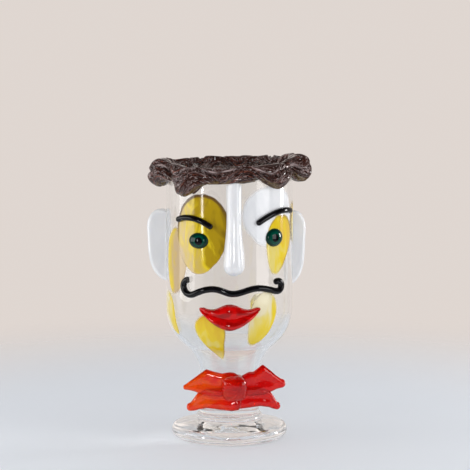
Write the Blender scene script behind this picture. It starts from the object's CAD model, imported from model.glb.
"""Looks of the face vase: a clear blown head, dressed with bits of coloured glass. Sizes are in metres.

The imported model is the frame. The clear body, the ruffle of hair, the patches of colour and the bow's wings
are modelled here, and the other pieces keep their solids and get their glass.
"""

import logging
from dataclasses import dataclass, field
from enum import Enum
from math import acos, asin, atan, atan2, cos, exp, hypot, pi, radians, sin, sqrt, tan

import bmesh
import bpy
from mathutils import Matrix, Vector, noise


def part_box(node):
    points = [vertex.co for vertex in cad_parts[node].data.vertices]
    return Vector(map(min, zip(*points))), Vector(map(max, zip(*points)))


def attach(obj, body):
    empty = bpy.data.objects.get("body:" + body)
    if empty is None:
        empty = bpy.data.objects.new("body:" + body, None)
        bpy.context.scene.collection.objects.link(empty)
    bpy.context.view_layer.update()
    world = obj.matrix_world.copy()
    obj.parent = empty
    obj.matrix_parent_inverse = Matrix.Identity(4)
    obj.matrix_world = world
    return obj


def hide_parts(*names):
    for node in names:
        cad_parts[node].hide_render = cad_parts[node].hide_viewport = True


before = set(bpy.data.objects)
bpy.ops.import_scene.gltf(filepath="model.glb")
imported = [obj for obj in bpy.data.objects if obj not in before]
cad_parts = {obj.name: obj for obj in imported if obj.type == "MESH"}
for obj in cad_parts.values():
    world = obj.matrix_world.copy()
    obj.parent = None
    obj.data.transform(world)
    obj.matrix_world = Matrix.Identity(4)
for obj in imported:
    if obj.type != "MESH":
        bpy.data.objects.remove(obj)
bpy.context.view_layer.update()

BODY = "root"
CREASE = radians(40)
IOR = 1.5
TOUCHING = 1e-6
GROOVE_SHIFT = Vector((5, 0, 0))
LOG = logging.getLogger("face_vase")

Colour = tuple[float, float, float]
Sizes = tuple[float, float, float]
Rise = tuple[float, float, float, float]
Socket = bpy.types.NodeSocket
Parts = bpy.types.bpy_prop_collection
Material = bpy.types.Material
Mesh = bmesh.types.BMesh


class Slot(Enum):
    """Glass slots of the record that the pieces made here take."""

    CLEAR = "clear_glass"
    HAIR = "hair_glass"
    BOW = "bow_glass"
    YELLOW_PATCH = "yellow_patch"
    WHITE_PATCH = "white_patch"


class Tint(Enum):
    """Colours that the patches in the wall come in."""

    AMBER = "amber"
    GOLD = "gold"
    LEMON = "lemon"
    CREAM = "cream"
    MILK = "milk"


def hill(away: float) -> float:
    """A smooth hill: 1 in the middle, falling off to both sides."""
    return exp(-(away**2))


def lumpy(place: Vector) -> float:
    """Noise in space, from 0 to 1."""
    return noise.noise(place) * 0.5 + 0.5


def facing(angle: float) -> tuple[Vector, Vector]:
    """Right and outwards at an angle in degrees from the front, for someone who looks at the axis."""
    turn = radians(angle)
    return Vector((cos(turn), sin(turn), 0)), Vector((sin(turn), -cos(turn), 0))


def revolved(bm: Mesh, steps: int, touching: float) -> None:
    """Spin a profile right round the upright axis.

    Args:
        bm: the mesh that holds the profile.
        steps: faces round it.
        touching: points that are nearer to each other than this become one.
    """
    geometry = bm.verts[:] + bm.edges[:]
    bmesh.ops.spin(
        bm, geom=geometry, cent=(0, 0, 0), axis=(0, 0, 1), angle=2 * pi, steps=steps, use_merge=True
    )
    bmesh.ops.remove_doubles(bm, verts=bm.verts[:], dist=touching)


class Nodes:
    """A node tree in the making."""

    def __init__(self, tree: bpy.types.NodeTree) -> None:
        """Take the tree that the nodes go into."""
        self.tree = tree

    def first(self, kind: str) -> bpy.types.Node:
        """The tree's first node of a type."""
        return next(node for node in self.tree.nodes if node.type == kind)

    def node(self, kind: str, **settings: object) -> bpy.types.Node:
        """Add a node.

        Args:
            kind: the node's type name.
            settings: properties of the node by name.

        Returns:
            The new node.
        """
        made = self.tree.nodes.new(kind)
        for name, value in settings.items():
            setattr(made, name, value)
        return made

    def feed(self, socket: Socket, value: object) -> None:
        """Link another node's output to a socket, or set the socket itself.

        Args:
            socket: the input to feed.
            value: an output socket, a number or a colour.
        """
        if isinstance(value, Socket):
            self.tree.links.new(value, socket)
        elif isinstance(value, tuple) and socket.type == "RGBA":
            socket.default_value = (*value, 1.0)
        else:
            socket.default_value = value

    def parts(self, vector: Socket) -> Parts:
        """Take a vector apart.

        Args:
            vector: the vector's output.

        Returns:
            Its X, Y and Z by name.
        """
        made = self.node("ShaderNodeSeparateXYZ")
        self.feed(made.inputs[0], vector)
        return made.outputs

    def maths(self, operation: str, a: object, b: object) -> Socket:
        """One sum of two values.

        Args:
            operation: name of the sum.
            a: first value or output.
            b: second value or output.

        Returns:
            The result's output.
        """
        made = self.node("ShaderNodeMath", operation=operation)
        self.feed(made.inputs[0], a)
        self.feed(made.inputs[1], b)
        return made.outputs[0]

    def times(self, a: object, b: object) -> Socket:
        """Two values multiplied."""
        return self.maths("MULTIPLY", a, b)

    def plus(self, a: object, b: object) -> Socket:
        """Two values added."""
        return self.maths("ADD", a, b)

    def spread(self, share: object, low: float, high: float, start: float, end: float) -> Socket:
        """Carry a value from one range to another, smoothly and clamped.

        Args:
            share: the value's output.
            low: value that becomes start.
            high: value that becomes end.
            start: result at low.
            end: result at high.

        Returns:
            The result's output.
        """
        made = self.node("ShaderNodeMapRange", interpolation_type="SMOOTHSTEP")
        names = ("Value", "From Min", "From Max", "To Min", "To Max")
        for name, value in zip(names, (share, low, high, start, end)):
            self.feed(made.inputs[name], value)
        return made.outputs["Result"]

    def mixed(self, share: object, a: object, b: object) -> Socket:
        """Mix two colours.

        Args:
            share: how much of the second.
            a: first colour or output.
            b: second colour or output.

        Returns:
            The colour output.
        """
        made = self.node("ShaderNodeMix", data_type="RGBA")
        colours = [socket for socket in made.inputs if socket.type == "RGBA"]
        self.feed(made.inputs["Factor"], share)
        self.feed(colours[0], a)
        self.feed(colours[1], b)
        return next(socket for socket in made.outputs if socket.type == "RGBA")

    def level(self, share: object, a: object, b: object) -> Socket:
        """Mix two numbers.

        Args:
            share: how much of the second.
            a: first number or output.
            b: second number or output.

        Returns:
            The number's output.
        """
        made = self.node("ShaderNodeMix")
        for name, value in (("Factor", share), ("A", a), ("B", b)):
            self.feed(made.inputs[name], value)
        return made.outputs["Result"]


class Shade(Nodes):
    """One material in the making: its Principled shader and the nodes that feed it."""

    def __init__(self, name: str) -> None:
        """Start a material with a bare shader."""
        self.material = bpy.data.materials.new(name)
        self.material.use_nodes = True
        super().__init__(self.material.node_tree)
        self.shader = self.first("BSDF_PRINCIPLED")

    def surface(self, inputs: dict[str, object]) -> None:
        """Feed the shader's sockets, by name."""
        for name, value in inputs.items():
            self.feed(self.shader.inputs[name], value)

    def places(self, centre: Vector | tuple = (0, 0, 0), size: Sizes = (1, 1, 1)) -> Socket:
        """Places on the object, counted from a point in units of a size.

        Args:
            centre: the point that becomes the origin.
            size: the unit along each axis.

        Returns:
            The vector output.
        """
        coordinate = self.node("ShaderNodeTexCoord")
        mapping = self.node("ShaderNodeMapping", vector_type="TEXTURE")
        self.feed(mapping.inputs["Vector"], coordinate.outputs["Object"])
        self.feed(mapping.inputs["Location"], tuple(centre))
        self.feed(mapping.inputs["Scale"], size)
        return mapping.outputs["Vector"]

    def attribute(self, name: str, output: str = "Fac") -> Socket:
        """An attribute that the mesh carries, by name."""
        return self.node("ShaderNodeAttribute", attribute_name=name).outputs[output]

    def clouds(self, vector: Socket, detail: float, rough: float = 0.5, twist: float = 0.0) -> Socket:
        """Noise from 0 to 1.

        Args:
            vector: where the noise is read.
            detail: octaves.
            rough: strength of the finer octaves.
            twist: distortion.

        Returns:
            The noise's output.
        """
        made = self.node("ShaderNodeTexNoise")
        self.feed(made.inputs["Vector"], vector)
        settings = {"Scale": 1.0, "Detail": detail, "Roughness": rough, "Distortion": twist}
        for name, value in settings.items():
            self.feed(made.inputs[name], value)
        return made.outputs["Fac"]

    def ramp(self, share: Socket, stops: tuple) -> Socket:
        """Colour along a row of stops.

        Args:
            share: where on the row to read.
            stops: pairs of place and colour, in order.

        Returns:
            The colour output.
        """
        made = self.node("ShaderNodeValToRGB")
        row = made.color_ramp.elements
        while len(row) < len(stops):
            row.new(1.0)
        for element, (place, colour) in zip(row, stops):
            element.position = place
            element.color = (*colour, 1.0)
        self.feed(made.inputs["Fac"], share)
        return made.outputs["Color"]

    def lines(self, share: Socket, stops: tuple) -> Socket:
        """Grey level along a row of stops, each a place and a level."""
        return self.ramp(share, tuple((place, (level,) * 3) for place, level in stops))

    def mottled(self, clouds: Socket, low: float, high: float) -> Socket:
        """A level that follows a noise, low in its dips and high on its peaks."""
        return self.spread(clouds, 0.3, 0.7, low, high)

    def relief(self, height: Socket, depth: float) -> None:
        """Bump the surface.

        Args:
            height: relief from 0 to 1.
            depth: its depth in metres.
        """
        made = self.node("ShaderNodeBump")
        self.feed(made.inputs["Height"], height)
        self.feed(made.inputs["Distance"], depth)
        self.feed(self.shader.inputs["Normal"], made.outputs["Normal"])

    def lamps_through(self, share: float) -> None:
        """Let a share of the lamps' light straight through, as clear glass does.

        Args:
            share: share of the light, from 0 to 1.
        """
        path = self.node("ShaderNodeLightPath")
        passed = self.times(path.outputs["Is Shadow Ray"], share)
        self.surface({"Alpha": self.maths("SUBTRACT", 1.0, passed)})


@dataclass(frozen=True)
class ClearGlass:
    """Hand-blown clear glass with faint waves in it."""

    name: str = "clear_glass"
    pale: Colour = (0.985, 0.99, 0.988)
    cool: Colour = (0.94, 0.955, 0.955)
    wave: Sizes = (0.05, 0.05, 0.13)
    depth: float = 0.0005
    lamps: float = 0.85

    def material(self) -> Material:
        """Make the material."""
        shade = Shade(self.name)
        waves = shade.clouds(shade.places(size=self.wave), detail=1.5)
        shade.surface({
            "Base Color": shade.ramp(waves, ((0.3, self.cool), (0.7, self.pale))),
            "Roughness": 0.0,
            "IOR": IOR,
            "Transmission Weight": 1.0,
        })
        shade.relief(waves, self.depth)
        shade.lamps_through(self.lamps)
        return shade.material


@dataclass(frozen=True)
class FusedJoint:
    """Where two pieces of clear glass have melted together: nothing of the joint shows."""

    name: str = "fused_joint"

    def material(self) -> Material:
        """Make the material."""
        shade = Shade(self.name)
        shade.surface({"Base Color": (1.0, 1.0, 1.0), "Alpha": 0.0})
        return shade.material


@dataclass(frozen=True)
class HairGlass:
    """Dark aubergine glass, drawn out in fine threads of mauve, white and rose that flow along the ruffle.

    A flow is given by its threads across a radius of the section, its starts in a metre and its shift.
    """

    name: str = "hair_glass"
    dark: Colour = (0.008, 0.003, 0.0025)
    brown: Colour = (0.044, 0.018, 0.014)
    mauve: Colour = (0.14, 0.076, 0.068)
    white: Colour = (0.46, 0.36, 0.35)
    rose: Colour = (0.15, 0.050, 0.035)
    tan: Colour = (0.17, 0.115, 0.045)
    stir: float = 0.5
    stir_size: float = 0.022
    band_flow: tuple[float, float, float] = (2.2, 22.0, 7.0)
    thread_flow: tuple[float, float, float] = (4.2, 20.0, 0.0)
    lump_size: float = 0.009
    lump_depth: float = 0.0006
    break_size: float = 0.016
    gloss: float = 0.4

    def stirred(self, shade: Shade) -> Parts:
        """Where a place is round the section, stirred a little.

        Args:
            shade: the material in the making.

        Returns:
            The place's X, Y and Z by name.
        """
        eddies = shade.node("ShaderNodeTexNoise")
        shade.feed(eddies.inputs["Vector"], shade.places(size=(self.stir_size,) * 3))
        shade.feed(eddies.inputs["Detail"], 1.0)
        centred = shade.node("ShaderNodeVectorMath", operation="SUBTRACT")
        shade.feed(centred.inputs[0], eddies.outputs["Color"])
        shade.feed(centred.inputs[1], (0.5, 0.5, 0.5))
        moved = shade.node("ShaderNodeVectorMath", operation="MULTIPLY_ADD")
        shade.feed(moved.inputs[0], centred.outputs[0])
        shade.feed(moved.inputs[1], (self.stir,) * 3)
        shade.feed(moved.inputs[2], shade.attribute("section", "Vector"))
        return shade.parts(moved.outputs[0])

    def flow(self, shade: Shade, across: float, along: float, shift: float) -> Socket:
        """Noise drawn out along the ruffle, without a seam.

        Args:
            shade: the material in the making.
            across: threads across the ruffle, in a radius of its section.
            along: how many start in a metre.
            shift: offset that sets two flows apart.

        Returns:
            The noise's output.
        """
        section = self.stirred(shade)
        place = shade.parts(shade.places())
        joined = shade.node("ShaderNodeCombineXYZ")
        for axis in ("X", "Y"):
            shade.feed(joined.inputs[axis], shade.times(section[axis], across))
        shade.feed(joined.inputs["Z"], shade.times(place["X"], along))
        made = shade.node("ShaderNodeTexNoise", noise_dimensions="4D")
        shade.feed(made.inputs["Vector"], joined.outputs[0])
        shade.feed(made.inputs["W"], shade.plus(shade.times(place["Y"], along), shift))
        for name, value in (("Scale", 1.0), ("Detail", 2.0), ("Roughness", 0.5)):
            shade.feed(made.inputs[name], value)
        return made.outputs["Fac"]

    def threaded(self, shade: Shade, threads: Socket, breaks: Socket) -> Socket:
        """Dark ground with mauve threads that come and go.

        Args:
            shade: the material in the making.
            threads: flow of the threads.
            breaks: noise that breaks them up.

        Returns:
            The colour output.
        """
        ground = shade.ramp(threads, (
            (0.34, self.rose), (0.39, self.dark), (0.46, self.brown), (0.50, self.dark),
            (0.55, self.brown), (0.58, self.dark), (0.62, self.rose), (0.66, self.dark),
        ))
        drawn = shade.lines(threads, (
            (0.385, 0.0), (0.405, 0.8), (0.425, 0.0), (0.505, 0.0),
            (0.52, 0.7), (0.535, 0.0), (0.60, 0.0), (0.63, 1.0),
        ))
        shown = shade.times(drawn, shade.spread(breaks, 0.36, 0.6, 0.08, 0.9))
        return shade.mixed(shown, ground, self.mauve)

    def pale(self, shade: Shade, threads: Socket, breaks: Socket) -> Socket:
        """Where the pale bands lie: two in the broad flow, and one along the ridge over the groove.

        Args:
            shade: the material in the making.
            threads: flow of the threads.
            breaks: noise that breaks the ridge's band up.

        Returns:
            The share of white.
        """
        broad = self.flow(shade, *self.band_flow)
        bands = shade.lines(broad, (
            (0.41, 0.0), (0.425, 0.8), (0.44, 0.0), (0.565, 0.0), (0.575, 0.9), (0.59, 0.0),
        ))
        ridge = shade.attribute("ridge")
        rising = shade.spread(ridge, 0.7, 1.0, 0.0, 0.8)
        crest = shade.times(rising, shade.spread(ridge, 1.3, 1.7, 1.0, 0.0))
        kept = shade.spread(breaks, 0.40, 0.58, 0.0, 1.0)
        broken = shade.times(kept, shade.spread(threads, 0.40, 0.52, 0.2, 1.0))
        return shade.maths("MAXIMUM", bands, shade.times(crest, broken))

    def material(self) -> Material:
        """Make the material."""
        shade = Shade(self.name)
        threads = self.flow(shade, *self.thread_flow)
        breaks = shade.clouds(shade.places(size=(self.break_size,) * 3), detail=1.0)
        dark = self.threaded(shade, threads, breaks)
        banded = shade.mixed(self.pale(shade, threads, breaks), dark, self.white)
        level = shade.parts(shade.attribute("section", "Vector"))["Z"]
        thin = shade.spread(level, -0.6, -0.95, 0.0, 0.75)
        lit = shade.times(thin, shade.spread(threads, 0.42, 0.58, 0.0, 1.0))
        shade.surface({
            "Base Color": shade.mixed(lit, banded, self.tan),
            "Roughness": shade.mottled(threads, 0.02, 0.05),
            "IOR": IOR,
            "Specular IOR Level": self.gloss,
        })
        lumps = shade.clouds(shade.places(size=(self.lump_size,) * 3), detail=1.0)
        shade.relief(lumps, self.lump_depth)
        return shade.material


@dataclass(frozen=True)
class OpalGlass:
    """Milky white glass, a little cloudy, with light bleeding through it."""

    name: str = "opal_glass"
    milk: Colour = (0.77, 0.775, 0.79)
    cloud: Colour = (0.72, 0.73, 0.75)
    cloud_size: Sizes = (0.012, 0.012, 0.03)

    def material(self) -> Material:
        """Make the material."""
        shade = Shade(self.name)
        clouds = shade.clouds(shade.places(size=self.cloud_size), detail=2.5, twist=0.4)
        shade.surface({
            "Base Color": shade.ramp(clouds, ((0.35, self.cloud), (0.62, self.milk))),
            "Roughness": shade.mottled(clouds, 0.07, 0.13),
            "IOR": IOR,
            "Subsurface Weight": 0.6,
            "Subsurface Radius": (1.0, 0.95, 0.9),
            "Subsurface Scale": 0.006,
            "Coat Weight": 0.6,
            "Coat Roughness": 0.03,
        })
        shade.relief(clouds, 0.0003)
        return shade.material


@dataclass(frozen=True)
class DenseGlass:
    """Glossy glass that lets no light through, with two tones swirled together."""

    name: str
    deep: Colour
    bright: Colour
    tones: tuple[float, float]
    swirl: Sizes
    detail: float
    twist: float
    dullest: float
    gloss: float
    depth: float

    def material(self) -> Material:
        """Make the material."""
        shade = Shade(self.name)
        swirl = shade.clouds(shade.places(size=self.swirl), detail=self.detail, twist=self.twist)
        shade.surface({
            "Base Color": shade.ramp(swirl, tuple(zip(self.tones, (self.deep, self.bright)))),
            "Roughness": shade.mottled(swirl, 0.02, self.dullest),
            "IOR": IOR,
            "Specular IOR Level": self.gloss,
        })
        shade.relief(swirl, self.depth)
        return shade.material


@dataclass(frozen=True)
class EyeGlass:
    """Dark emerald glass that deepens towards the pupil."""

    centre: Vector
    reach: float
    name: str = "eye_glass"
    deep: Colour = (0.0, 0.006, 0.005)
    emerald: Colour = (0.0, 0.052, 0.032)
    rim: Colour = (0.0, 0.024, 0.015)
    grain: float = 0.004
    wobble: float = 0.25
    gloss: float = 0.3

    def material(self) -> Material:
        """Make the material."""
        shade = Shade(self.name)
        away = shade.node("ShaderNodeVectorMath", operation="LENGTH")
        shade.feed(away.inputs[0], shade.places(self.centre, (self.reach,) * 3))
        clouds = shade.clouds(shade.places(size=(self.grain,) * 3), detail=2.0)
        distance = shade.plus(away.outputs["Value"], shade.times(clouds, self.wobble))
        stops = ((0.28, self.deep), (0.496, self.emerald), (0.76, self.emerald), (0.92, self.rim))
        shade.surface({
            "Base Color": shade.ramp(distance, stops),
            "Roughness": shade.mottled(clouds, 0.02, 0.05),
            "IOR": IOR,
            "Specular IOR Level": self.gloss,
        })
        return shade.material


@dataclass(frozen=True)
class BowGlass:
    """Clear red glass that runs to orange on one side, where it was gathered thinner."""

    name: str = "bow_glass"
    orange: Colour = (1.0, 0.10, 0.004)
    scarlet: Colour = (0.95, 0.018, 0.002)
    crimson: Colour = (0.78, 0.002, 0.002)
    swirl: Sizes = (0.02, 0.02, 0.01)
    from_x: float = -0.05
    to_x: float = 0.03
    clear: float = 0.72
    gloss: float = 0.3
    depth: float = 0.0006

    def material(self) -> Material:
        """Make the material."""
        shade = Shade(self.name)
        swirl = shade.clouds(shade.places(size=self.swirl), detail=3.0, twist=0.8)
        along = shade.spread(shade.parts(shade.places())["X"], self.from_x, self.to_x, 0.0, 0.8)
        share = shade.plus(along, shade.mottled(swirl, -0.2, 0.3))
        shade.surface({
            "Base Color": shade.ramp(share, ((0.1, self.orange), (0.45, self.scarlet), (0.9, self.crimson))),
            "Roughness": shade.mottled(swirl, 0.02, 0.07),
            "IOR": IOR,
            "Specular IOR Level": self.gloss,
            "Transmission Weight": self.clear,
        })
        shade.relief(swirl, self.depth)
        return shade.material


@dataclass(frozen=True)
class PatchGlass:
    """Thin colour picked up in the wall: tints that run across the drop in streaks, and a drawn edge."""

    name: str
    run: tuple[Colour, ...]
    edge: Colour
    heading: float = 0.0
    edge_heading: float = 90.0
    edge_share: float = 0.8
    edge_from: float = 0.8
    streak: Sizes = (0.014, 0.014, 0.036)
    stirred: float = 0.75
    clear: float = 0.1
    melt: float = 0.14
    ragged: float = 0.03

    @staticmethod
    def towards(shade: Shade, place: Parts, heading: float) -> Socket:
        """How far a place lies to one side of the drop.

        Args:
            shade: the material in the making.
            place: the parts of the place by name.
            heading: the side in degrees, from the right round to the top.

        Returns:
            The share, from -1 to 1.
        """
        right = shade.times(place["X"], cos(radians(heading)))
        return shade.plus(right, shade.times(place["Y"], sin(radians(heading))))

    def material(self) -> Material:
        """Make the material."""
        shade = Shade(self.name)
        streaks = shade.clouds(shade.places(size=self.streak), detail=2.5, rough=0.45, twist=1.2)
        place = shade.parts(shade.attribute("drop", "Vector"))
        drift = shade.spread(streaks, 0.25, 0.75, -self.stirred, self.stirred)
        along = shade.plus(self.towards(shade, place, self.heading), drift)
        last = len(self.run) - 1
        stops = tuple((row / last, tint) for row, tint in enumerate(self.run))
        tints = shade.ramp(shade.spread(along, -1.3, 1.3, 0.0, 1.0), stops)
        sided = shade.spread(self.towards(shade, place, self.edge_heading), -0.2, 0.7, 0.0, self.edge_share)
        outer = shade.plus(place["Z"], shade.times(drift, self.ragged))
        edged = shade.times(sided, shade.spread(outer, self.edge_from, 0.93, 0.0, 1.0))
        shade.surface({
            "Base Color": shade.mixed(edged, tints, self.edge),
            "Roughness": shade.mottled(streaks, 0.05, 0.12),
            "IOR": IOR,
            "Transmission Weight": self.clear,
            "Alpha": shade.spread(outer, 1.0 - self.melt, 1.0, 1.0, 0.0),
        })
        return shade.material


class Lathe:
    """A profile drawn outwards from the axis, then spun into a closed round shape."""

    def __init__(self, height: float) -> None:
        """Start on the axis at a height."""
        self.bm = bmesh.new()
        self.tip = self.bm.verts.new((0, 0, height))

    def line(self, radius: float, height: float) -> None:
        """Draw straight on.

        Args:
            radius: where the line ends, out from the axis.
            height: where it ends, up.
        """
        made = bmesh.ops.extrude_vert_indiv(self.bm, verts=[self.tip])
        self.tip = made["verts"][0]
        self.tip.co = (radius, 0, height)

    def arc(self, radius: float, height: float, turn: float, steps: int) -> None:
        """Draw round a centre.

        Args:
            radius: place of the centre, out from the axis.
            height: place of the centre, up.
            turn: angle in radians, clockwise with the axis on the left.
            steps: edges along it.
        """
        made = bmesh.ops.spin(
            self.bm, geom=[self.tip], cent=(radius, 0, height), axis=(0, 1, 0), angle=turn, steps=steps
        )
        self.tip = next(item for item in made["geom_last"] if isinstance(item, bmesh.types.BMVert))

    def spun(self, steps: int) -> Mesh:
        """Spin the profile round the upright axis.

        Args:
            steps: faces round it.

        Returns:
            The closed mesh, with its faces outwards.
        """
        revolved(self.bm, steps, TOUCHING)
        bmesh.ops.recalc_face_normals(self.bm, faces=self.bm.faces[:])
        return self.bm


def placed(name: str, bm: Mesh, glass: list[Material]) -> None:
    """Turn a finished mesh into a piece that stands for the node of its name.

    Args:
        name: the node's name; the piece gets it with _glass behind.
        bm: the mesh, which is freed.
        glass: its materials, in slot order.
    """
    mesh = bpy.data.meshes.new(f"{name}_glass")
    for face in bm.faces:
        face.smooth = True
    for edge in bm.edges:
        edge.smooth = edge.calc_face_angle(0.0) < CREASE
    bm.to_mesh(mesh)
    bm.free()
    for material in glass:
        mesh.materials.append(material)
    piece = bpy.data.objects.new(f"{name}_glass", mesh)
    bpy.context.scene.collection.objects.link(piece)
    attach(piece, BODY)
    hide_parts(name)
    LOG.info("%s: %d faces", piece.name, len(mesh.polygons))


def dressed(name: str, material: Material) -> None:
    """Give a node that keeps its solid its glass.

    Args:
        name: the node.
        material: its finish.
    """
    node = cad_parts[name]
    if not node.material_slots:
        node.data.materials.append(material)
    for slot in node.material_slots:
        slot.material = material
    LOG.info("%s: %s", name, material.name)


@dataclass
class ClearBody:
    """The blown vessel, its collar and the foot, melted into one body of clear glass."""

    neck_radius: float = 0.033
    neck_solid: float = 0.014
    well_round: float = 0.018
    chin_drop: float = 0.077
    chin_arc: float = 0.055
    head_length: float = 0.155
    wall: float = 0.0045
    proud: float = 0.00004
    foot_slope: float = 10.0
    steps: int = 192
    arc_steps: int = 72
    well_steps: int = 12
    ring_steps: int = 16
    edge_steps: int = 20
    pressed_wave: Sizes = (0.03, 0.03, 0.014)
    pressed_depth: float = 0.0016
    foot: float = field(init=False)
    lip: float = field(init=False)
    chin: float = field(init=False)
    throat: float = field(init=False)
    radius: float = field(init=False)
    bend: float = field(init=False)
    throat_arc: float = field(init=False)
    ring: tuple[Vector, Vector] = field(init=False)
    ring_half: float = field(init=False)

    def __post_init__(self) -> None:
        """Read the heights off the frame."""
        low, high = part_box("vessel")
        self.foot = low.z
        self.lip = high.z
        self.radius = high.x + self.proud
        self.chin = self.lip - self.head_length
        self.throat = self.chin - self.chin_drop
        self.neck_radius += self.proud
        self.bend = 2 * atan((self.radius - self.neck_radius) / self.chin_drop)
        self.throat_arc = self.chin_drop / sin(self.bend) - self.chin_arc
        self.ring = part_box("collar")
        self.ring_half = (self.ring[1].z - self.ring[0].z) / 2

    def radius_at(self, height: float) -> float:
        """Outside radius of the wall.

        Args:
            height: height over the base.

        Returns:
            The radius there.
        """
        if height <= self.throat:
            return self.neck_radius
        if height >= self.chin:
            return self.radius
        if height < self.throat + self.throat_arc * sin(self.bend):
            rise = height - self.throat
            return self.neck_radius + self.throat_arc - sqrt(self.throat_arc**2 - rise**2)
        drop = self.chin - height
        return self.radius - self.chin_arc + sqrt(self.chin_arc**2 - drop**2)

    def vessel(self) -> Mesh:
        """Spin the vessel, outside and inside."""
        inside = self.neck_radius - self.wall
        floor = self.foot + self.neck_solid
        well = floor + self.well_round
        throat_centre = self.neck_radius + self.throat_arc
        chin_centre = self.radius - self.chin_arc
        lathe = Lathe(self.foot)
        lathe.line(self.neck_radius, self.foot)
        lathe.line(self.neck_radius, self.throat)
        lathe.arc(throat_centre, self.throat, self.bend, self.arc_steps)
        lathe.arc(chin_centre, self.chin, -self.bend, self.arc_steps)
        lathe.line(self.radius, self.lip)
        lathe.line(self.radius - self.wall, self.lip)
        lathe.line(self.radius - self.wall, self.chin)
        lathe.arc(chin_centre, self.chin, self.bend, self.arc_steps)
        lathe.arc(throat_centre, self.throat, -self.bend, self.arc_steps)
        lathe.line(inside, well)
        lathe.arc(inside - self.well_round, well, pi / 2, self.well_steps)
        lathe.line(0, floor)
        return lathe.spun(self.steps)

    def collar(self) -> Mesh:
        """Spin the round-sided ring under the neck."""
        low, high = self.ring
        middle = high.x - self.ring_half
        lathe = Lathe(low.z)
        lathe.line(middle, low.z)
        lathe.arc(middle, low.z + self.ring_half, -pi, self.ring_steps)
        lathe.line(self.neck_radius, high.z)
        lathe.line(0, high.z)
        return lathe.spun(self.steps)

    def base(self) -> Mesh:
        """Spin the foot: a disc with a round edge and a sloping top."""
        low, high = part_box("foot")
        collar = self.ring[1].x
        edge = self.edge_round(high.x, collar, high.z)
        lathe = Lathe(low.z)
        lathe.line(high.x - edge, low.z)
        lathe.arc(high.x - edge, low.z + edge, radians(self.foot_slope) - pi, self.edge_steps)
        lathe.line(collar, high.z)
        lathe.line(collar - self.ring_half, high.z)
        lathe.line(0, high.z)
        return lathe.spun(self.steps)

    def edge_round(self, outside: float, seat: float, height: float) -> float:
        """Radius of the foot's edge that leaves its slope ending at the seat.

        Args:
            outside: radius of the foot.
            seat: radius of the flat seat on top.
            height: height of the seat.

        Returns:
            The radius of the edge.
        """
        slope = radians(self.foot_slope)
        rise = tan(slope)
        return (height - (outside - seat) * rise) / (1 + cos(slope) - (1 - sin(slope)) * rise)

    def build(self) -> None:
        """Make the three pieces and hide the faces that have melted together."""
        joint = FusedJoint().material()
        blown = [ClearGlass().material(), joint]
        thick = ClearGlass("foot_glass", wave=self.pressed_wave, depth=self.pressed_depth)
        pressed = [thick.material(), joint]
        low, high = self.ring
        melted = min(high.x - self.ring_half, self.neck_radius)
        joints = {"vessel": (self.foot,), "collar": (low.z, high.z), "foot": (low.z,)}
        meshes = {"vessel": self.vessel(), "collar": self.collar(), "foot": self.base()}
        for name, bm in meshes.items():
            for face in bm.faces:
                middle = face.calc_center_median()
                flat = all(abs(vert.co.z - middle.z) < TOUCHING for vert in face.verts)
                level = any(abs(middle.z - height) < TOUCHING for height in joints[name])
                if flat and level and hypot(middle.x, middle.y) < melted:
                    face.material_index = 1
            placed(name, bm, blown if name == "vessel" else pressed)


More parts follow.
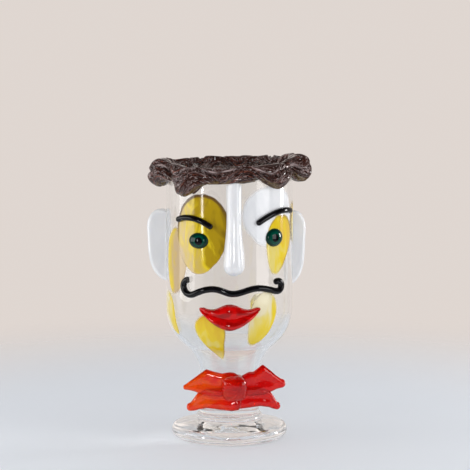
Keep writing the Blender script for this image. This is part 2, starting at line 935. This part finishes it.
@dataclass
class Hair:
    """Fluted ruffle turned over the lip: deep lobes that hang out and down, with folds between them."""

    lip: float
    radius: float
    lobes: int = 9
    turn: float = -1.0
    inside: float = 0.0085
    overhang: float = 0.0175
    flute: float = 0.0048
    crimp: float = 0.0011
    crimp_turn: float = 1.0
    height: float = 0.034
    thin: float = 0.012
    sit: float = -0.0062
    droop: float = 0.0027
    sides: float = 0.0044
    tilt: float = 0.0025
    back: float = 0.003
    fold: float = 0.0065
    fold_width: float = 0.22
    slant: float = 1.1
    strand: float = 0.0032
    strand_width: float = 0.13
    strands_across: float = 1.3
    strands_along: float = 2.0
    strand_rise: float = 0.6
    groove: float = 0.0036
    groove_level: float = 0.55
    groove_swing: float = 0.85
    groove_width: float = 0.26
    groove_wander: float = 0.03
    groove_wave: float = 0.8
    groove_stray: float = 0.7
    hang: float = 0.0052
    hang_angle: float = -38.0
    hang_width: float = 17.0
    lumps: float = 0.0034
    lump_size: float = 0.017
    dip: float = 0.003
    dips: float = 2.6
    seat: float = 0.0002
    twist: float = 0.9
    front_narrow: int = 8
    side_narrow: int = 6
    plain_radius: float = 3.0
    plain_touching: float = 1e-5
    steps: int = 432
    points: int = 64

    def ribbon(self) -> Mesh:
        """Spin a round section into a ring, then shape it."""
        bm = bmesh.new()
        bmesh.ops.create_circle(bm, segments=self.points, radius=1.0)
        upright = Matrix.Translation((self.plain_radius, 0, 0)) @ Matrix.Rotation(pi / 2, 4, "X")
        bmesh.ops.transform(bm, matrix=upright, verts=bm.verts[:])
        revolved(bm, self.steps, self.plain_touching)
        section = bm.verts.layers.float_vector.new("section")
        ridge = bm.verts.layers.float.new("ridge")
        for vert in bm.verts:
            self.shape(vert, section, ridge)
        bmesh.ops.recalc_face_normals(bm, faces=bm.faces[:])
        return bm

    def shape(
        self, vert: bmesh.types.BMVert, section: bmesh.types.BMLayerItem, ridge: bmesh.types.BMLayerItem
    ) -> None:
        """Move a point of the plain ring to its place on the ruffle.

        Args:
            vert: the point.
            section: layer that keeps where it is round the section.
            ridge: layer that keeps how far above the winding groove it is, in widths of the groove.
        """
        out = hypot(vert.co.x, vert.co.y)
        way = Vector((vert.co.x / out, vert.co.y / out, 0))
        across, up = out - self.plain_radius, vert.co.z
        angle = self.angle_of(way)
        front = max(0.0, -way.y) ** self.front_narrow
        side = abs(way.x) ** self.side_narrow
        wave = self.lobes * (angle - radians(self.turn))
        swell = cos(wave) * (1 - front) - front
        inner = self.radius - self.inside
        outer = self.radius + self.overhang + self.flute * swell
        outer += self.crimp * cos(2 * wave + self.crimp_turn)
        middle = self.lip + self.sit - self.droop * swell + self.sides * side
        middle += self.tilt * way.x + self.back * (1 + way.y) / 2
        hang = self.hang * hill((angle - radians(self.hang_angle)) / radians(self.hang_width))
        middle -= hang / 2
        half_width = (outer - inner) / 2
        half_height = (self.height - self.thin * (1 - swell) / 2 + hang) / 2
        spot = way * ((outer + inner) / 2 + across * half_width)
        spot.z = middle + up * half_height
        turned = Vector((across, up)) @ Matrix.Rotation(self.twist * sin(wave), 2)
        drawn = Vector((turned.x, turned.y, 0)) * self.strands_across + way * self.strands_along
        strand = noise.noise(drawn + Vector((0, 0, up * self.strand_rise)))
        wander = noise.noise(spot / self.groove_wander + GROOVE_SHIFT)
        winding = sin(wave + wander) * self.groove_wave + wander * self.groove_stray
        groove = self.groove_level + self.groove_swing * winding
        beside = (atan2(up, across) - groove) / self.groove_width
        sunk = self.lumps * lumpy(spot / self.lump_size)
        sunk += self.fold * self.crease(wave + self.slant * up) * max(0.0, across) * (1 - front)
        sunk += self.strand * hill(strand / self.strand_width)
        sunk += self.groove * hill(beside)
        reach = (outer + inner) / 2 + across * (half_width - sunk)
        dip = self.dip * lumpy(way * self.dips) * (1 - side)
        level = middle + up * (half_height - sunk) - dip * max(0.0, up)
        if level < self.lip:
            reach = max(reach, self.radius + self.seat)
        vert.co = way * reach + Vector((0, 0, level))
        vert[section] = (turned.x, turned.y, up)
        vert[ridge] = beside

    def crease(self, wave: float) -> float:
        """Depth of the folds from 0 to 1.

        Args:
            wave: place along the ruffle, a full turn for each lobe.

        Returns:
            1 half-way between two lobes, falling off to both sides.
        """
        away = (wave % (2 * pi) - pi) / pi
        return hill(away / self.fold_width)

    @staticmethod
    def angle_of(way: Vector) -> float:
        """Angle of a direction from the nose, positive towards the viewer's right."""
        angle = asin(max(-1.0, min(1.0, way.x)))
        return angle if way.y < 0 else pi - angle

    def build(self) -> None:
        """Make the ruffle."""
        placed("hair", self.ribbon(), [HairGlass().material()])


@dataclass
class Patch:
    """A drop of colour in the wall: where it lies, its size, how it narrows downwards and its lean."""

    name: str
    angle: float
    height: float
    width: float
    tall: float
    narrow: float
    lean: float
    tint: Tint
    cells: int = 32
    lift: float = 0.00024
    thick: float = 0.0002

    def sheet(self, body: ClearBody) -> Mesh:
        """Bend a flat grid into the drop's outline and lay it on the wall.

        Args:
            body: the clear body that it lies on.

        Returns:
            The mesh.
        """
        bm = bmesh.new()
        bmesh.ops.create_grid(bm, x_segments=self.cells, y_segments=self.cells, size=1.0)
        drop = bm.verts.layers.float_vector.new("drop")
        right, outwards = facing(self.angle)
        for vert in bm.verts:
            x = vert.co.x * sqrt(1 - vert.co.y**2 / 2)
            y = vert.co.y * sqrt(1 - vert.co.x**2 / 2)
            share = hypot(x, y)
            drawn_in = 1 - self.narrow * (1 - (y / share if share else 0.0)) / 2
            flat = Vector((x * self.width / 2 * drawn_in, y * self.tall / 2))
            flat = Matrix.Rotation(radians(self.lean), 2) @ flat
            height = body.chin + self.height + flat.y
            around = body.radius_at(height) + self.lift
            depth = sqrt(max(0.0, around**2 - flat.x**2))
            vert.co = right * flat.x + outwards * depth + Vector((0, 0, height))
            vert[drop] = (x, y, share)
        bmesh.ops.recalc_face_normals(bm, faces=bm.faces[:])
        if bm.faces[0].normal.dot(outwards) < 0:
            bmesh.ops.reverse_faces(bm, faces=bm.faces[:])
        bmesh.ops.solidify(bm, geom=bm.faces[:], thickness=self.thick)
        return bm


@dataclass
class Patches:
    """All the colour in the wall."""

    body: ClearBody
    drops: tuple[Patch, ...] = (
        Patch("patch_cheek_left", -30.0, 0.087, 0.070, 0.088, 0.2, -6.0, Tint.AMBER, lift=0.0005),
        Patch("patch_chin_left", -20.5, -0.026, 0.050, 0.056, 0.75, 10.0, Tint.GOLD),
        Patch("patch_chin_right", 27.5, -0.006, 0.042, 0.064, 0.35, -14.0, Tint.LEMON),
        Patch("patch_cheek_right", 47.0, 0.0735, 0.056, 0.068, 0.5, -16.0, Tint.GOLD, lift=0.0005),
        Patch("patch_brow_right", 37.0, 0.105, 0.078, 0.070, 0.15, -4.0, Tint.MILK),
        Patch("patch_side_left", -60.0, 0.055, 0.046, 0.076, 0.25, -4.0, Tint.CREAM),
        Patch("patch_low_left", -71.0, -0.003, 0.032, 0.052, 0.4, 20.0, Tint.LEMON, lift=0.0005),
        Patch("patch_side_right", 83.0, 0.095, 0.030, 0.048, 0.2, -6.0, Tint.GOLD),
        Patch("patch_back_high", 201.0, 0.072, 0.050, 0.066, 0.3, 8.0, Tint.AMBER),
        Patch("patch_back_low", 144.0, -0.012, 0.032, 0.038, 0.4, -10.0, Tint.LEMON),
        Patch("patch_back_white", 138.0, 0.090, 0.044, 0.052, 0.3, 10.0, Tint.MILK),
    )

    @staticmethod
    def finishes() -> dict[Tint, PatchGlass]:
        """Each tint's glass."""
        peach = (0.58, 0.43, 0.24)
        ochre = (0.22, 0.135, 0.006)
        honey = (0.44, 0.29, 0.008)
        straw = (0.66, 0.48, 0.09)
        yellow = (0.80, 0.60, 0.02)
        lemon = (0.79, 0.66, 0.20)
        cream = (0.82, 0.74, 0.50)
        orange = (0.74, 0.48, 0.02)
        umber = (0.14, 0.075, 0.02)
        milk = (0.86, 0.865, 0.88)
        mist = (0.80, 0.81, 0.83)
        amber = (peach, straw, yellow, honey, honey, ochre)
        return {
            Tint.AMBER: PatchGlass(
                "amber_patch", amber, umber, 25.0, 110.0, 1.0, 0.88, stirred=0.45, melt=0.05
            ),
            Tint.GOLD: PatchGlass("gold_patch", (lemon, yellow, orange), honey, 60.0, 20.0),
            Tint.LEMON: PatchGlass(
                "lemon_patch", (cream, cream, lemon, yellow), yellow, -35.0, -40.0, 1.0, 0.45
            ),
            Tint.CREAM: PatchGlass(
                "cream_patch", (yellow, straw, peach, peach), yellow, 0.0, 180.0, 1.0, 0.5
            ),
            Tint.MILK: PatchGlass("milk_patch", (mist, milk, milk), milk, 0.0, 90.0),
        }

    def build(self) -> None:
        """Lay every drop on the wall."""
        glass = {tint: finish.material() for tint, finish in self.finishes().items()}
        for drop in self.drops:
            placed(drop.name, drop.sheet(self.body), [glass[drop.tint]])


@dataclass
class Face:
    """Nose, ears, eyes, brows, moustache and lips: bits of glass laid on the head."""

    white: tuple[str, ...] = ("nose", "left_ear", "right_ear")
    black: tuple[str, ...] = ("left_brow", "right_brow", "moustache", "left_pupil", "right_pupil")
    eyes: tuple[str, ...] = ("left", "right")
    rods: DenseGlass = DenseGlass(
        "black_glass", deep=(0.0015, 0.0015, 0.002), bright=(0.005, 0.004, 0.006), tones=(0.4, 0.7),
        swirl=(0.004, 0.004, 0.004), detail=2.0, twist=0.0, dullest=0.06, gloss=0.3, depth=0.0001,
    )
    lips: DenseGlass = DenseGlass(
        "lip_glass", deep=(0.30, 0.001, 0.001), bright=(0.58, 0.002, 0.002), tones=(0.36, 0.6),
        swirl=(0.014, 0.014, 0.006), detail=3.0, twist=0.8, dullest=0.05, gloss=0.4, depth=0.0004,
    )

    def build(self) -> None:
        """Dress every bit in its glass."""
        opal = OpalGlass().material()
        jet = self.rods.material()
        for name in self.white:
            dressed(name, opal)
        for name in self.black:
            dressed(name, jet)
        for side in self.eyes:
            low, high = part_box(f"{side}_eye")
            pupil_low, pupil_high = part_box(f"{side}_pupil")
            emerald = EyeGlass((pupil_low + pupil_high) / 2, (high.z - low.z) / 2, f"{side}_eye_glass")
            dressed(f"{side}_eye", emerald.material())
        dressed("lips", self.lips.material())


@dataclass
class Lobe:
    """Half of a wing: rows of how far out, lowest, highest and thickness, from the middle to the tip."""

    rows: tuple[tuple[float, ...], ...]
    dish: float = 0.5
    rim: float = 0.55
    rim_width: float = 3.0
    smoothing: int = 5
    around: int = 44
    slices: int = 110

    def row(self, out: float) -> tuple[float, float, float]:
        """Lowest, highest and thickness at a place.

        Args:
            out: how far out.

        Returns:
            The three sizes, straight between two rows.
        """
        for here, there in zip(self.rows, self.rows[1:]):
            if out <= there[0]:
                break
        share = min(1.0, max(0.0, (out - here[0]) / (there[0] - here[0])))
        return tuple(a + (b - a) * share for a, b in zip(here[1:], there[1:]))

    def pillow(self, side: float) -> Mesh:
        """Pull a ball out into the lobe, with a raised rim and a dished front.

        Args:
            side: -1 for the left wing, 1 for the right.

        Returns:
            The mesh: x to the right, y up and z to the front.
        """
        bm = bmesh.new()
        bmesh.ops.create_uvsphere(bm, u_segments=self.around, v_segments=self.slices, radius=1.0)
        start, tip = self.rows[0][0], self.rows[-1][0]
        bead = (self.rows[-1][2] - self.rows[-1][1]) / 2
        for vert in bm.verts:
            share = acos(max(-1.0, min(1.0, -vert.co.z))) / pi
            out = start + (tip + bead - start) * share
            ring = hypot(vert.co.x, vert.co.y)
            high, front = (vert.co.y / ring, vert.co.x / ring) if ring > TOUCHING else (0.0, 0.0)
            lowest, highest, thick = self.row(out)
            left = min(out - start, tip + bead - out) / bead
            close = sqrt(max(0.0, 1 - (1 - min(1.0, left)) ** 2))
            depth = front * thick / 2 * close
            if front > 0:
                inwards = min(1.0, max(0.0, tip - out) / (self.rim_width * bead))
                depth *= 1 - self.dish * hill(high / self.rim) * inwards
            vert.co = (side * out, (lowest + highest) / 2 + high * (highest - lowest) / 2 * close, depth)
        for _ in range(self.smoothing):
            bmesh.ops.smooth_vert(
                bm, verts=bm.verts[:], factor=0.5, use_axis_x=True, use_axis_y=True, use_axis_z=True
            )
        bmesh.ops.recalc_face_normals(bm, faces=bm.faces[:])
        return bm


@dataclass
class Bow:
    """Bow tie in red glass at the neck: a knot over two wings of two lobes each."""

    body: ClearBody
    angle: float = 4.0
    lift: float = 0.005
    sweep: float = 12.0
    gap: float = 0.0003
    left: tuple[Lobe, ...] = (
        Lobe((
            (-0.009, -0.004, 0.012, 0.009), (0.000, -0.008, 0.0172, 0.012), (0.005, -0.009, 0.0175, 0.0125),
            (0.013, -0.010, 0.0160, 0.013), (0.022, -0.010, 0.0180, 0.013), (0.0305, -0.0095, 0.0206, 0.013),
            (0.036, -0.008, 0.0165, 0.012), (0.0434, -0.0046, 0.0108, 0.010), (0.049, -0.0034, 0.0066, 0.008),
            (0.0535, -0.0028, 0.0030, 0.0062),
        )),
        Lobe((
            (-0.009, -0.024, 0.000, 0.009), (0.002, -0.0263, 0.000, 0.012), (0.013, -0.025, 0.000, 0.0125),
            (0.030, -0.0232, -0.001, 0.012), (0.040, -0.0250, -0.006, 0.0105),
            (0.0435, -0.0262, -0.011, 0.0098), (0.048, -0.0264, -0.0172, 0.0090),
        )),
    )
    right: tuple[Lobe, ...] = (
        Lobe((
            (0.001, -0.006, 0.010, 0.009), (0.008, -0.009, 0.0125, 0.012), (0.018, -0.010, 0.0170, 0.013),
            (0.0227, -0.010, 0.0166, 0.013), (0.0338, -0.010, 0.0242, 0.013), (0.043, -0.0075, 0.0168, 0.012),
            (0.050, -0.0046, 0.0105, 0.0105), (0.0555, -0.0036, 0.0066, 0.0098),
        )),
        Lobe((
            (0.001, -0.022, 0.000, 0.009), (0.0072, -0.0241, 0.000, 0.012), (0.018, -0.0235, 0.000, 0.0125),
            (0.0304, -0.0225, -0.001, 0.012), (0.041, -0.0245, -0.005, 0.011),
            (0.045, -0.0262, -0.0095, 0.010), (0.050, -0.0276, -0.0186, 0.0092),
        )),
    )

    def seated(self, bm: Mesh, side: float) -> None:
        """Turn a lobe back to its side and set it against the neck.

        Args:
            bm: the lobe.
            side: -1 for the left wing, 1 for the right.
        """
        low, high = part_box("bow_knot")
        turn = radians(side * self.sweep)
        right, front = facing(self.angle)
        for vert in bm.verts:
            across = vert.co.x * cos(turn) + vert.co.z * sin(turn)
            level = (low.z + high.z) / 2 + vert.co.y
            depth = self.body.neck_radius + self.lift - vert.co.x * sin(turn) + vert.co.z * cos(turn)
            around = self.body.radius_at(level) + self.gap
            depth = max(depth, sqrt(max(0.0, around**2 - across**2)))
            vert.co = right * across + front * depth + Vector((0, 0, level))

    def wing(self, lobes: tuple[Lobe, ...], side: float) -> Mesh:
        """Both lobes of a wing in one mesh.

        Args:
            lobes: the upper and the lower lobe.
            side: -1 for the left wing, 1 for the right.

        Returns:
            The mesh.
        """
        whole = bmesh.new()
        for lobe in lobes:
            bm = lobe.pillow(side)
            self.seated(bm, side)
            bmesh.ops.recalc_face_normals(bm, faces=bm.faces[:])
            part = bpy.data.meshes.new("lobe")
            bm.to_mesh(part)
            bm.free()
            whole.from_mesh(part)
            bpy.data.meshes.remove(part)
        return whole

    def build(self) -> None:
        """Make the wings and dress the knot."""
        glass = BowGlass().material()
        placed("bow_left_wing", self.wing(self.left, -1.0), [glass])
        placed("bow_right_wing", self.wing(self.right, 1.0), [glass])
        dressed("bow_knot", glass)


@dataclass
class Softbox:
    """Upright panel of soft light that looks at the axis."""

    name: str
    angle: float
    distance: float
    width: float
    low: float
    high: float
    radiance: float

    def build(self) -> None:
        """Hang the lamp."""
        lamp = bpy.data.lights.new(self.name, "AREA")
        lamp.shape = "RECTANGLE"
        lamp.size = self.width
        lamp.size_y = self.high - self.low
        lamp.energy = self.radiance * pi * lamp.size * lamp.size_y
        panel = bpy.data.objects.new(self.name, lamp)
        turn = radians(self.angle)
        panel.location = (sin(turn) * self.distance, -cos(turn) * self.distance, (self.low + self.high) / 2)
        panel.rotation_euler = (pi / 2, 0, turn)
        panel.visible_transmission = False
        bpy.context.scene.collection.objects.link(panel)


@dataclass
class Studio:
    """Pale floor that melts into a pale backdrop, soft light from both sides and three narrow windows.

    A level of the room rises along an axis: from where, to where, the level at first and the level at last.
    """

    floor_radius: float = 1.2
    floor_fade: tuple[float, float] = (0.28, 0.9)
    floor_gap: float = 0.0002
    floor_steps: int = 96
    floor_grain: float = 0.05
    floor_gloss: float = 0.04
    floor_colour: Colour = (0.80, 0.825, 0.865)
    backdrop: Colour = (0.74, 0.675, 0.635)
    daylight: float = 0.82
    daylight_colour: Colour = (0.76, 0.77, 0.79)
    mirrored: Rise = (-0.1, 0.8, 0.10, 1.0)
    overhead: Rise = (0.6, 0.1, 0.2, 1.0)
    bent: Rise = (-0.5, 0.6, 0.65, 1.0)
    sides: tuple[Rise, ...] = ((-0.62, -0.95, 0.0, 0.95), (0.66, 0.92, 0.0, 0.85))
    bounces: int = 32
    boxes: tuple[Softbox, ...] = (
        Softbox("left_softbox", -85.0, 1.1, 0.70, 0.0, 0.62, 2.9),
        Softbox("right_softbox", 58.0, 1.1, 0.50, 0.0, 0.62, 3.0),
        Softbox("front_window", -6.0, 1.7, 0.15, 0.28, 0.66, 26.0),
        Softbox("left_window", -52.0, 1.7, 0.11, 0.02, 0.60, 15.0),
        Softbox("side_window", 104.0, 1.5, 0.20, 0.12, 0.58, 26.0),
    )

    def floor(self) -> None:
        """Lay the floor."""
        bm = bmesh.new()
        bmesh.ops.create_circle(bm, cap_ends=True, segments=self.floor_steps, radius=self.floor_radius)
        bmesh.ops.translate(bm, vec=(0, 0, -self.floor_gap), verts=bm.verts[:])
        mesh = bpy.data.meshes.new("floor")
        bm.to_mesh(mesh)
        bm.free()
        shade = Shade("pale_floor")
        away = shade.node("ShaderNodeVectorMath", operation="LENGTH")
        shade.feed(away.inputs[0], shade.places())
        grain = shade.clouds(shade.places(size=(self.floor_grain,) * 3), detail=2.0)
        near, far = self.floor_fade
        shade.surface({
            "Base Color": self.floor_colour,
            "Roughness": shade.spread(grain, 0.2, 0.8, 0.7, 0.8),
            "Specular IOR Level": self.floor_gloss,
            "Alpha": shade.spread(away.outputs["Value"], near, far, 1.0, 0.0),
        })
        mesh.materials.append(shade.material)
        floor = bpy.data.objects.new("floor", mesh)
        bpy.context.scene.collection.objects.link(floor)

    def world(self) -> None:
        """Pale backdrop for the eye and through glass, a dim room in reflections, daylight for the rest."""
        world = bpy.data.worlds.new("studio")
        bpy.context.scene.world = world
        world.use_nodes = True
        nodes = Nodes(world.node_tree)
        back = nodes.first("BACKGROUND").inputs
        ray = nodes.node("ShaderNodeLightPath").outputs
        way = nodes.parts(nodes.node("ShaderNodeTexCoord").outputs["Generated"])
        nodes.feed(back["Color"], nodes.mixed(ray["Is Diffuse Ray"], self.backdrop, self.daylight_colour))
        dim = nodes.times(nodes.spread(way["Y"], *self.mirrored), nodes.spread(way["Z"], *self.overhead))
        glow = nodes.spread(way["Y"], *self.bent)
        for side in self.sides:
            glow = nodes.plus(glow, nodes.spread(way["X"], *side))
        level = nodes.level(ray["Is Glossy Ray"], self.daylight, dim)
        level = nodes.level(ray["Is Transmission Ray"], level, glow)
        nodes.feed(back["Strength"], nodes.level(ray["Is Camera Ray"], level, 1.0))

    def build(self) -> None:
        """Set the floor, the backdrop and the lamps."""
        self.floor()
        self.world()
        for box in self.boxes:
            box.build()
        scene = bpy.context.scene
        scene.view_settings.view_transform = "Standard"
        scene.cycles.max_bounces = self.bounces
        scene.cycles.glossy_bounces = self.bounces
        scene.cycles.transmission_bounces = self.bounces
        scene.cycles.transparent_max_bounces = self.bounces


@dataclass
class Viewpoint:
    """The photograph's camera, for a square picture."""

    angle: float = -3.5
    distance: float = 2.0
    height: float = 0.4434
    look_right: float = 0.1795
    look_down: float = 6.257
    lens: float = 139.33
    sensor: float = 36.0

    def build(self) -> None:
        """Set the camera."""
        data = bpy.data.cameras.new("viewpoint")
        data.lens = self.lens
        data.sensor_fit = "HORIZONTAL"
        data.sensor_width = self.sensor
        camera = bpy.data.objects.new("viewpoint", data)
        turn = radians(self.angle)
        camera.location = (sin(turn) * self.distance, -cos(turn) * self.distance, self.height)
        camera.rotation_euler = (radians(90 - self.look_down), 0, turn - radians(self.look_right))
        bpy.context.scene.collection.objects.link(camera)
        bpy.context.scene.camera = camera


def main() -> None:
    """Build the vase and its studio, and keep the sizes."""
    logging.basicConfig(level=logging.INFO)
    Viewpoint().build()
    Studio().build()
    body = ClearBody()
    body.build()
    Hair(body.lip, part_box("vessel")[1].x).build()
    Patches(body).build()
    Face().build()
    Bow(body).build()


if __name__ == "__main__":
    main()
